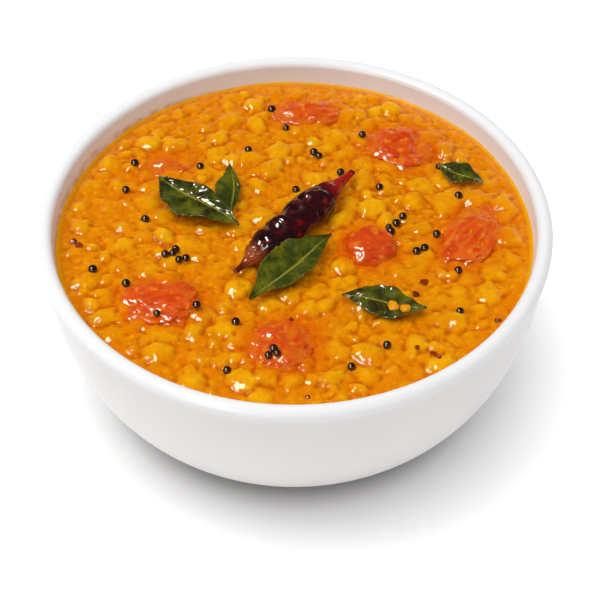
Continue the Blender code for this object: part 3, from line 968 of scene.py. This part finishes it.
def makeTomato(piece):
    look = tomatoLook
    low, high = corners(piece["node"])
    middle = (low + high) / 2
    turn = math.radians(piece["turn"])
    shape, faces = roundBall(6)
    swell = roughen(shape * 1.5, piece["seed"])
    pleat = np.abs(roughen(shape * (1.5, 3.2, 1.5), piece["seed"] + 20))
    ridge = smoothStep(0.35, 0.0, pleat) * piece["pleats"]
    lump = roughen(shape * 3.4, piece["seed"] + 40) * piece["lumps"]
    pimple = roughen(shape * 7.0, piece["seed"] + 60) * piece["lumps"]
    relief = 1 + look["swell"] * swell + look["ridge"] * ridge + look["lump"] * lump + look["pimple"] * pimple
    filled = np.sign(shape) * np.abs(shape) ** look["bulge"] * relief[:, None] * piece["half"]
    points = np.column_stack((
        middle[0] + filled[:, 0] * math.cos(turn) - filled[:, 1] * math.sin(turn),
        middle[1] + filled[:, 0] * math.sin(turn) + filled[:, 1] * math.cos(turn),
        middle[2] + filled[:, 2] - look["sinking"] * piece["sunk"],
    ))
    points[:, 2] += look["waves"] * piece["sunk"] * hills(points[:, 0], points[:, 1], 5.0, piece["seed"] + 80)
    filmed = smoothStep(1.6, 0.2, points[:, 2] - readMap("height", points[:, 0], points[:, 1]))
    name = "tomatoPiece" + piece["node"][-1]
    made = makePiece(name, points, faces, makeTomatoMaterial(piece), {"ridge": ridge, "filmed": filmed})
    grounds.append(BVHTree.FromPolygons((points * mm).tolist(), faces))
    return place(made, piece["node"])


for piece in tomatoes:
    makeTomato(piece)
print("tomatoes made")

# Mustard seeds
seedLook = {
    "diameter": (2.1, 2.6),
    "flatness": 0.97,
    "sunk": 0.22,              # share of the diameter below the surface
    "loose": [
        (-7, 56), (-2.5, 47), (-14, 36), (-48.5, 30.5), (-28.5, 28.5), (-50.5, 19), (-44, 6),
        (0.5, 18.5), (21, 42.5), (14, 26), (25.5, 19), (49, 15.5), (44, 29), (32, 6.5),
        (41.5, -1.5), (47, -15.5), (46.5, -31.5), (25.5, -44.5), (15.5, -52), (-58, -14.5),
        (-48, -21), (-27.5, -31), (-38.5, -34), (-16.5, -36), (-18.5, -53.5),
    ],
    "huddles": [
        [(6, 35), (7.6, 34)],
        [(30, 4), (27.7, 2.2), (28.3, 0.6)],
        [(35.4, -8), (37.8, -6.6)],
        [(-7.2, -49.5), (-4.8, -49.3), (-5.8, -47.5)],
        [(-37.4, -9.1), (-34.5, -6.8), (-33.3, -11.3), (-31.4, -9.8), (-35.2, -8.9)],
    ],
    "coat": colour(20, 9, 5),
    "worn": colour(64, 28, 12),
    "speck": colour(104, 52, 26),
}


def makeSeedMaterial():
    look = seedLook
    material, tree, shader = newMaterial("mustardSeed", 0.4, 0.0, 1.0, 0.03)
    shader.inputs["Coat IOR"].default_value = 1.65
    shade = useGroup(tree, tonePatches, Color=look["coat"], Patch_Color=look["worn"],
                     Freckle_Color=look["speck"], Patch_Scale=420.0, Freckle_Scale=2600.0,
                     Patches=0.6, Freckles=0.35)["Color"]
    plug(tree, shader.inputs["Base Color"], tintWhere(tree, shade, "tint", 0.5, look["worn"]))
    addFilm(tree, shader, 0.00002, Scale=900.0, Wet_Roughness=0.2, Dry_Roughness=0.4,
            Ripples=0.4, Pimples=0.5)
    return material


def settle(look, spots, picker):
    # round things of the look's diameters, each pressed a little into what lies under it
    shape, triangles = roundBall(4)
    flatness = look["flatness"]
    points = []
    faces = []
    for x, y in spots:
        radius = picker.uniform(*look["diameter"]) / 2
        stretch = picker.uniform(0.93, 1.07, 3) * (1, 1, flatness)
        height = topOf(x, y) + radius * flatness * (1 - 2 * look["sunk"])
        faces += (np.array(triangles) + len(points) * len(shape)).tolist()
        points.append(shape * radius * stretch + (x, y, height))
    return np.vstack(points), faces


def makeSeeds():
    look = seedLook
    picker = np.random.default_rng(5)
    spots = list(look["loose"])
    for huddle in look["huddles"]:
        spots += huddle
    points, faces = settle(look, spots, picker)
    tint = np.repeat(picker.uniform(0, 1, len(spots)) ** 3, len(points) // len(spots))
    made = makePiece("mustardSeeds", points, faces, makeSeedMaterial(), {"tint": tint})
    return place(made, None)


makeSeeds()
print("seeds made")

# Crumbs of chilli skin, and lentils that stick to the front leaf
crumbLook = {
    "diameter": (1.4, 2.4),
    "flatness": 0.45,
    "sunk": 0.3,
    "spots": [(-64.5, -2.5), (-62.8, -4.6), (-1, -34), (33.7, -46.1), (38.2, -47.4), (39.4, -49.2),
              (37, -19.5), (34.5, -24), (57, -34.5), (3.5, -62.6)],
    "dark": colour(104, 40, 8),
    "bright": colour(196, 60, 4),
    "burnt": colour(40, 8, 4),
}
looseLentilLook = {
    "diameter": (2.6, 3.2),
    "flatness": 0.6,
    "sunk": 0.35,
    "spots": [(27.6, -32.1), (30.9, -32.7)],
}


def makeCrumbs():
    look = crumbLook
    material, tree, shader = newMaterial("crumbSkin", 0.4, 0.0, 1.0, 0.08)
    shade = useGroup(tree, tonePatches, Color=look["dark"], Patch_Color=look["bright"],
                     Freckle_Color=look["burnt"], Patch_Scale=260.0, Freckle_Scale=1500.0,
                     Patches=0.9, Freckles=0.5)["Color"]
    plug(tree, shader.inputs["Base Color"], shade)
    addFilm(tree, shader, 0.0001, Scale=600.0, Wet_Roughness=0.25, Dry_Roughness=0.45,
            Ripples=0.6, Pimples=0.3)
    points, faces = settle(look, look["spots"], np.random.default_rng(9))
    points = ruffled(points, 0.22, 0.9, (1, 2, 3))
    place(makePiece("chilliCrumbs", points, faces, material), None)


def makeLooseLentils():
    look = looseLentilLook
    points, faces = settle(look, look["spots"], np.random.default_rng(4))
    points = ruffled(points, 0.3, 1.5, (4, 5, 6))
    marks = {"lump": np.full(len(points), 0.8), "tint": np.full(len(points), 0.9)}
    place(makePiece("looseLentils", points, faces, dalMaterial, marks), None)


makeCrumbs()
makeLooseLentils()
print("crumbs made")

# Studio
studio = {
    "cameraPlace": (0.0, -388.4, 432.65),
    "cameraAim": (1.5, -26.5, 53.8),
    "lens": 111.0,
    "worldStrength": (0.08, 0.78),   # at the horizon and overhead
    "mirroredStrength": 0.06,
    # name, place, size, power, and whether it is the kind that only shows in wet surfaces
    "softboxes": (
        ("topBox", (-422, 83, 895), 600, 3.2, False),
        ("leftBox", (-850, -150, 760), 600, 0.9, False),
        ("frontBox", (100, -480, 950), 700, 1.5, False),
        ("gleamBox", (-475, -115, 865), 330, 10.2, True),
        ("lowGleamBox", (-450, -800, 420), 300, 6.5, True),
    ),
    "lightAim": (0, 0, 45),
    "gleamTone": (1.0, 0.97, 0.84),
    "floorSize": 8000,
    "floorGlow": 0.5,
    "glowReach": (52.0, 100.0),
    # painted shadow on the floor close under the bowl
    "contactShadowReach": (62.0, 50.0),
    "contactShadow": colour(200, 200, 200),
    "floor": colour(250, 250, 250),
    "floorPatch": colour(248, 248, 248),
    "floorSpeck": colour(247, 247, 247),
}


def aimed(item, spot, aim):
    item.location = Vector(spot) * mm
    item.rotation_euler = (Vector(aim) - Vector(spot)).to_track_quat("-Z", "Y").to_euler()
    bpy.context.scene.collection.objects.link(item)
    return item


def addSoftbox(name, spot, size, power, mirroredOnly):
    light = bpy.data.lights.new(name, "AREA")
    light.size = size * mm
    light.energy = power
    if mirroredOnly:
        light.color = studio["gleamTone"]
    softbox = aimed(bpy.data.objects.new(name, light), spot, studio["lightAim"])
    softbox.visible_diffuse = not mirroredOnly
    softbox.visible_glossy = mirroredOnly


def addCamera():
    camera = bpy.data.cameras.new("camera")
    camera.lens = studio["lens"]
    camera.sensor_width = 36.0
    camera.clip_start = 0.01
    holder = bpy.data.objects.new("camera", camera)
    bpy.context.scene.camera = aimed(holder, studio["cameraPlace"], studio["cameraAim"])


def buildWorld():
    # wet surfaces mirror a dimmer room than the one that lights them
    world = bpy.data.worlds.new("softWhite")
    world.use_nodes = True
    tree = world.node_tree
    background = tree.nodes["Background"].inputs
    background["Color"].default_value = (1, 1, 1, 1)
    parts = tree.nodes.new("ShaderNodeSeparateXYZ")
    tree.links.new(tree.nodes.new("ShaderNodeTexCoord").outputs["Generated"], parts.inputs[0])
    horizon, overhead = studio["worldStrength"]
    strength = addRange(tree, parts.outputs["Z"], 0.0, 1.0, horizon, overhead)
    ray = tree.nodes.new("ShaderNodeLightPath").outputs
    drop = addMath(tree, "SUBTRACT", studio["mirroredStrength"], strength)
    strength = addMath(tree, "MULTIPLY_ADD", ray["Is Glossy Ray"], drop, strength)
    plug(tree, background["Strength"], addMath(tree, "MAXIMUM", strength, ray["Is Camera Ray"]))
    bpy.context.scene.world = world


def buildFloor():
    # the sweep glows a little away from the bowl, and a painted contact shadow darkens it right under the
    # bowl
    material, tree, shader = newMaterial("paleFloor", 0.7, 0.1)
    shader.inputs["Emission Strength"].default_value = studio["floorGlow"]
    shade = useGroup(tree, tonePatches, Color=studio["floor"], Patch_Color=studio["floorPatch"],
                     Freckle_Color=studio["floorSpeck"], Patch_Scale=4.0, Freckle_Scale=90.0,
                     Patches=0.4, Freckles=0.2)["Color"]
    away = tree.nodes.new("ShaderNodeVectorMath")
    away.operation = "LENGTH"
    tree.links.new(addPlace(tree), away.inputs[0])
    # painted contact shadow close to the bowl's foot
    near, far = studio["contactShadowReach"]
    contactShadow = addRange(tree, away.outputs["Value"], near * mm, far * mm)
    plug(tree, shader.inputs["Base Color"], addMix(tree, contactShadow, shade, studio["contactShadow"]))
    near, far = studio["glowReach"]
    glow = addRange(tree, away.outputs["Value"], near * mm, far * mm)
    plug(tree, shader.inputs["Emission Color"], addMix(tree, glow, (0, 0, 0, 1), shade))
    half = studio["floorSize"] / 2
    points = [(-half, -half, 0), (half, -half, 0), (half, half, 0), (-half, half, 0)]
    makePiece("floor", points, [(0, 1, 2, 3)], material)


bpy.context.scene.view_settings.view_transform = "Standard"
addCamera()
buildWorld()
for softbox in studio["softboxes"]:
    addSoftbox(*softbox)
buildFloor()
print("studio ready")
